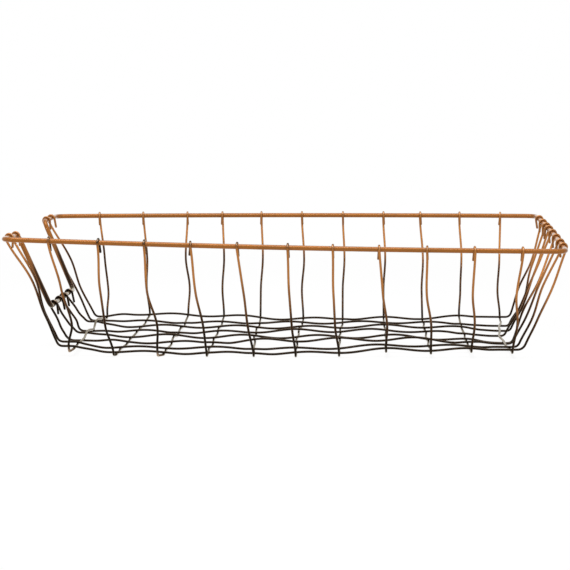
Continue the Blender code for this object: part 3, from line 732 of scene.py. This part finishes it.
def wireSweepTree():
    sweep = Tree("wireSweep", (
        ("Geometry", "Geometry"), ("Wire Radius", "Float"), ("Sides", "Int"), ("Step", "Float"),
        ("Tip Length", "Float"), ("Tip Scale", "Float"), ("Outside Height", "Float"),
        ("Inside Height", "Float"), ("Outside Soft", "Float"), ("Inside Soft", "Float"),
        ("Length Drop", "Float"), ("Inside Dust", "Float"), ("Dust Height", "Float"),
        ("Material", "Material")))
    given = sweep.given
    curve = sweep.add("GeometryNodeMeshToCurve", {"Mesh": given["Geometry"]}).outputs[0]
    curve = sweep.add("GeometryNodeResampleCurve", {"Curve": curve, "Length": given["Step"]},
                      mode="LENGTH").outputs[0]
    position = sweep.add("GeometryNodeInputPosition").outputs[0]
    smooth = sweep.add("GeometryNodeBlurAttribute", {0: position, "Iterations": swept["smoothing"]},
                       data_type="FLOAT_VECTOR").outputs[0]
    curve = sweep.add("GeometryNodeSetPosition", {"Geometry": curve, "Position": smooth}).outputs[0]

    # sheared tips are slightly rounded
    along = sweep.add("GeometryNodeSplineParameter").outputs["Length"]
    total = sweep.add("GeometryNodeSplineLength").outputs["Length"]
    fromEnd = sweep.math("MINIMUM", along, sweep.math("SUBTRACT", total, along))
    taper = sweep.ramp(fromEnd, 0.0, given["Tip Length"], given["Tip Scale"], 1.0)
    profile = sweep.add("GeometryNodeCurvePrimitiveCircle", {
        "Resolution": given["Sides"], "Radius": given["Wire Radius"]}).outputs[0]
    tube = sweep.add("GeometryNodeCurveToMesh", {
        "Curve": curve, "Profile Curve": profile, "Scale": taper, "Fill Caps": True}).outputs[0]

    # faces turned outwards took more copper than the ones turned in
    normal = sweep.add("GeometryNodeInputNormal").outputs["Normal"]
    reach = sweep.vector("DIVIDE", position, (rimHalfLength, rimHalfWidth, swept["levelReach"]))
    square = sweep.vector("MULTIPLY", reach, reach)
    fourth = sweep.vector("MULTIPLY", square, square)
    outward = sweep.vector("NORMALIZE", sweep.vector("MULTIPLY", fourth, reach))
    facing = sweep.vector("DOT_PRODUCT", normal, outward, output="Value")
    turned = sweep.ramp(facing, *swept["turned"])
    place = sweep.add("ShaderNodeSeparateXYZ", {"Vector": position}).outputs
    height = sweep.mix(turned, given["Inside Height"], given["Outside Height"])
    soft = sweep.mix(turned, given["Inside Soft"], given["Outside Soft"])
    toEnd = sweep.math("DIVIDE", place["X"], rimHalfLength)
    lower = sweep.math("MULTIPLY", given["Length Drop"], toEnd)
    above = sweep.math("ADD", sweep.math("SUBTRACT", place["Z"], height), lower)
    cover = sweep.math("DIVIDE", above, soft)

    # a little dust of it also reached the insides of the walls
    dustStart = sweep.math("MULTIPLY", given["Dust Height"], swept["dustStart"])
    risen = sweep.ramp(place["Z"], dustStart, given["Dust Height"])
    dusty = sweep.math("MULTIPLY", sweep.ramp(facing, *swept["dusty"], 1.0, 0.0), risen)
    least = sweep.mix(dusty, swept["bare"], given["Inside Dust"])
    cover = sweep.math("MINIMUM", sweep.math("MAXIMUM", cover, least), 1.0)
    cover = sweep.math("ADD", cover, sweep.stored("spray"))
    tube = sweep.store(tube, "copperCover", cover)

    # painted highlight and painted reflection: tops and undersides turn pale where a path marks
    # them
    up = sweep.math("ABSOLUTE", sweep.add("ShaderNodeSeparateXYZ", {"Vector": normal}).outputs["Z"])
    paintedHighlight = sweep.math("MULTIPLY", sweep.stored("highlightAmount"), sweep.ramp(up, *swept["highlightFacing"]))
    tube = sweep.store(tube, "paintedHighlight", paintedHighlight)
    tube = sweep.add("GeometryNodeSetShadeSmooth", {"Geometry": tube}).outputs[0]
    sweep.finish(tube, given["Material"])
    return sweep


wireSweep = wireSweepTree()


def pathObject(name, points, closed=False):
    # points are (x, y, z, spray, painted highlight)
    mesh = bpy.data.meshes.new(name)
    edges = [(index, index + 1) for index in range(len(points) - 1)]
    if closed:
        edges.append((len(points) - 1, 0))
    mesh.from_pydata([point[:3] for point in points], edges, [])
    for place, label in ((3, "spray"), (4, "highlightAmount")):
        values = [float(point[place]) for point in points]
        mesh.attributes.new(label, "FLOAT", "POINT").data.foreach_set("value", values)
    source = bpy.data.objects.new(name, mesh)
    bpy.context.collection.objects.link(source)
    return source


def sweepWire(node, points, gauge, look, closed=False):
    piece = wireSweep.run(pathObject(node + "_path", points, closed), node + "_drawn", {
        "Wire Radius": gauge["wire"] / 2,
        "Sides": gauge["sides"],
        "Step": gauge["step"],
        "Tip Length": gauge["wire"] * swept["tipShare"],
        "Tip Scale": 1.0 if closed else swept["tipScale"],
        "Outside Height": coat["outsideHeight"],
        "Inside Height": coat["insideHeight"],
        "Outside Soft": coat["outsideSoft"],
        "Inside Soft": coat["insideSoft"],
        "Length Drop": coat["lengthDrop"],
        "Inside Dust": coat["insideDust"],
        "Dust Height": coat["dustHeight"],
        "Material": look,
    })
    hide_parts(node)
    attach(piece, "root")


rimLook = sprayedWire("rimCopper", "rim")
sweepWire("rim_wire", [(*point, 0, 0) for point in rimPath()], rimWire, rimLook, closed=True)
print("rim swept")

longLook = sprayedWire("longWireCopper")
for wire in range(longWires["count"]):
    sweepWire(f"long_wire_{wire + 1}", longWirePath(wire), thinWire, longLook)
print("long wires swept")

crossLook = sprayedWire("crossWireCopper")
for wire in range(crossWires["count"]):
    sweepWire(f"cross_wire_{wire + 1}", crossWirePath(wire), thinWire, crossLook)
print("cross wires swept")


# spot welds where the floor wires cross

welds = {
    "radius": 0.00095,
    "height": 0.00085,
    "segments": 8,
    "rings": 5,
    "least": 0.8,                # sizes vary between these shares
    "most": 1.15,
    "seed": 7,
    "cover": -1.6,               # copper on a bead, nearly none
}


def weldTree():
    melt = Tree("spotWeld", (
        ("Geometry", "Geometry"), ("Radius", "Float"), ("Height", "Float"), ("Segments", "Int"),
        ("Rings", "Int"), ("Least", "Float"), ("Most", "Float"), ("Seed", "Int"),
        ("Cover", "Float"), ("Material", "Material")))
    given = melt.given
    bead = melt.add("GeometryNodeMeshUVSphere", {
        "Segments": given["Segments"], "Rings": given["Rings"], "Radius": 1.0}).outputs[0]
    # sockets 2 and 3 take a plain number's limits, and output 1 gives it
    size = melt.add("FunctionNodeRandomValue", {
        2: given["Least"], 3: given["Most"], "Seed": given["Seed"]}, data_type="FLOAT").outputs[1]
    shape = melt.add("ShaderNodeCombineXYZ", {
        "X": given["Radius"], "Y": given["Radius"], "Z": given["Height"]}).outputs[0]
    scale = melt.vector("MULTIPLY", shape, size)
    beads = melt.add("GeometryNodeInstanceOnPoints", {
        "Points": given["Geometry"], "Instance": bead, "Scale": scale}).outputs[0]
    whole = melt.add("GeometryNodeRealizeInstances", {"Geometry": beads}).outputs[0]
    whole = melt.store(whole, "copperCover", given["Cover"])
    whole = melt.add("GeometryNodeSetShadeSmooth", {"Geometry": whole}).outputs[0]
    melt.finish(whole, given["Material"])
    return melt


spots = []
for cross in range(crossWires["count"]):
    for long in range(longWires["count"]):
        x, y = crossing(cross, long)
        level = (crossWireLevel(cross, long) + longWireLevel(long, x)) / 2
        spots.append((x, y, level, 0, 0))
beads = weldTree().run(pathObject("weldSpots", spots), "floor_welds", {
    "Radius": welds["radius"],
    "Height": welds["height"],
    "Segments": welds["segments"],
    "Rings": welds["rings"],
    "Least": welds["least"],
    "Most": welds["most"],
    "Seed": welds["seed"],
    "Cover": welds["cover"],
    "Material": crossLook,
})
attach(beads, "root")
print("floor welded:", len(spots), "spots")


# studio

studio = {
    "cameraPlace": (0.05823, -1.93418, 0.25179),
    "yaw": 0.031856,
    "pitch": 0.105088,
    "focal": 2188.86,            # in pixels of the picture
    "picture": 570,
    "nudge": 0.5,                # pixels that the view moves sideways
    "sensor": 36,
    "clipEnd": 50,
    "floorRadius": 7.0,
    "floorSides": 96,
    "floorWhite": 0.86,
    "floorRough": 0.9,
    "floorShine": 0.1,
    "floorFill": 0.88,           # white mixed over the floor for the camera, near and past fillFar
    "floorFillFar": 1.0,
    "fillNear": 0.35,
    "fillFar": 1.1,
    "world": 0.44,
    "lampAim": (0, 0, 0.05),
    "lamps": (                   # name, place, size and power
        ("topLight", (-0.2, -0.45, 1.55), 1.4, 28),
        ("frontLight", (0.9, -1.6, 0.9), 0.22, 6),
    ),
}


def addCamera():
    yaw, pitch = studio["yaw"], studio["pitch"]
    level = math.cos(pitch)
    ahead = Vector((-math.sin(yaw) * level, math.cos(yaw) * level, -math.sin(pitch)))
    right = Vector((math.cos(yaw), math.sin(yaw), 0))
    up = right.cross(ahead)
    data = bpy.data.cameras.new("camera")
    data.sensor_width = studio["sensor"]
    data.lens = studio["focal"] * data.sensor_width / studio["picture"]
    data.shift_x = -studio["nudge"] / studio["picture"]
    data.clip_end = studio["clipEnd"]
    camera = bpy.data.objects.new("camera", data)
    turned = Matrix((right, up, -ahead)).transposed().to_4x4()
    camera.matrix_world = Matrix.Translation(studio["cameraPlace"]) @ turned
    bpy.context.collection.objects.link(camera)
    bpy.context.scene.camera = camera


def seenDirectly(tree):
    # 1 for camera, glossy and transmission rays
    path = tree.nodes.new("ShaderNodeLightPath").outputs
    either = path["Is Camera Ray"]
    for ray in ("Is Glossy Ray", "Is Transmission Ray"):
        node = tree.nodes.new("ShaderNodeMath")
        node.operation = "MAXIMUM"
        tree.links.new(either, node.inputs[0])
        tree.links.new(path[ray], node.inputs[1])
        either = node.outputs[0]
    return either


def addFloor():
    mesh = bpy.data.meshes.new("floor")
    radius, sides = studio["floorRadius"], studio["floorSides"]
    turns = [math.tau * step / sides for step in range(sides)]
    around = [(math.cos(turn) * radius, math.sin(turn) * radius, 0) for turn in turns]
    mesh.from_pydata(around, [], [tuple(range(sides))])
    floor = bpy.data.objects.new("floor", mesh)
    bpy.context.collection.objects.link(floor)
    look = bpy.data.materials.new("floorPaper")
    look.use_nodes = True
    tree = look.node_tree
    shader = tree.nodes["Principled BSDF"]
    shader.inputs["Base Color"].default_value = (studio["floorWhite"],) * 3 + (1,)
    shader.inputs["Roughness"].default_value = studio["floorRough"]
    shader.inputs["Specular IOR Level"].default_value = studio["floorShine"]
    glow = tree.nodes.new("ShaderNodeEmission")
    mix = tree.nodes.new("ShaderNodeMixShader")
    amount = tree.nodes.new("ShaderNodeMath")
    amount.operation = "MULTIPLY"
    far = tree.nodes.new("ShaderNodeMapRange")
    far.interpolation_type = "SMOOTHSTEP"
    for socket, value in (("From Min", studio["fillNear"]), ("From Max", studio["fillFar"]),
                          ("To Min", studio["floorFill"]), ("To Max", studio["floorFillFar"])):
        far.inputs[socket].default_value = value
    fromMiddle = tree.nodes.new("ShaderNodeVectorMath")
    fromMiddle.operation = "LENGTH"
    tree.links.new(tree.nodes.new("ShaderNodeTexCoord").outputs["Object"], fromMiddle.inputs[0])
    tree.links.new(fromMiddle.outputs["Value"], far.inputs["Value"])
    tree.links.new(seenDirectly(tree), amount.inputs[0])
    tree.links.new(far.outputs[0], amount.inputs[1])
    tree.links.new(amount.outputs[0], mix.inputs["Fac"])
    tree.links.new(shader.outputs[0], mix.inputs[1])
    tree.links.new(glow.outputs[0], mix.inputs[2])
    tree.links.new(mix.outputs[0], tree.nodes["Material Output"].inputs["Surface"])
    mesh.materials.append(look)


def addWorld():
    world = bpy.data.worlds.new("studioWorld")
    world.use_nodes = True
    tree = world.node_tree
    background = tree.nodes["Background"]
    background.inputs["Color"].default_value = (1, 1, 1, 1)
    strength = tree.nodes.new("ShaderNodeMapRange")
    strength.inputs["To Min"].default_value = studio["world"]
    strength.inputs["To Max"].default_value = 1
    tree.links.new(seenDirectly(tree), strength.inputs["Value"])
    tree.links.new(strength.outputs[0], background.inputs["Strength"])
    bpy.context.scene.world = world


def addLight(name, place, size, power):
    data = bpy.data.lights.new(name, "AREA")
    data.shape = "DISK"
    data.size = size
    data.energy = power
    light = bpy.data.objects.new(name, data)
    light.location = place
    aim = Vector(studio["lampAim"]) - Vector(place)
    light.rotation_euler = aim.to_track_quat("-Z", "Y").to_euler()
    bpy.context.collection.objects.link(light)


addCamera()
addFloor()
addWorld()
for lamp in studio["lamps"]:
    addLight(*lamp)
bpy.context.scene.view_settings.view_transform = "Standard"
print("studio ready")
